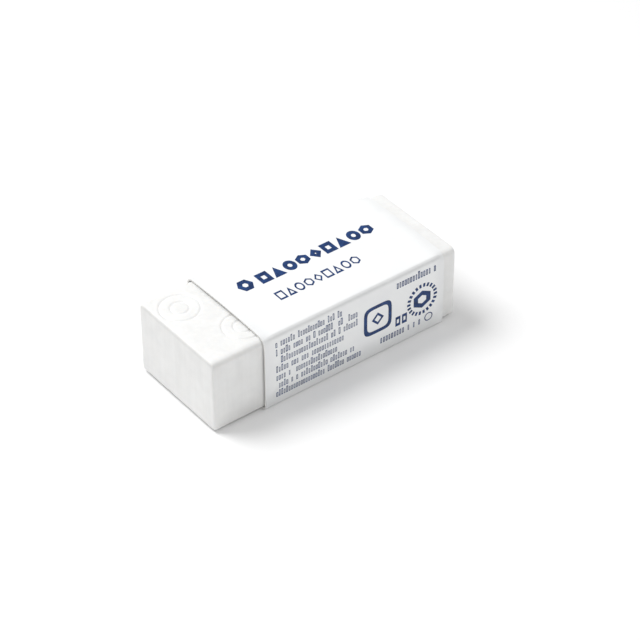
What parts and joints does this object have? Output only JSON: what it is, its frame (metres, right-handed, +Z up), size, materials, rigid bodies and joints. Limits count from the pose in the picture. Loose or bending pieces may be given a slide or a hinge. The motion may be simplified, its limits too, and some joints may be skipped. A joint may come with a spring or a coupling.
{
  "type": "rubber eraser",
  "caption": "Small white vinyl bar eraser with rounded edges, held in a folded card sleeve that slides along it and pulls off.",
  "frame": {"origin": "middle of the whole object's box, on the surface it stands on, under the sleeve", "axes": "+X along the length, from the long bare end of the block towards the short one; -Y is the printed long side; +Z up"},
  "size_m": [0.043, 0.0186, 0.0126],
  "materials": {
    "vinyl": "soft matte white, moulded",
    "card": "white coated card, satin, printed dark blue"
  },
  "bodies": {
    "block": {"eraser_block": "vinyl"},
    "sleeve": {"card_sleeve": "card"}
  },
  "joints": [
    {"name": "sleeve_slide", "type": "slide", "parent": "block", "child": "sleeve", "axis": [1, 0, 0], "range_m": [-0.041, 0.035]}
  ]
}
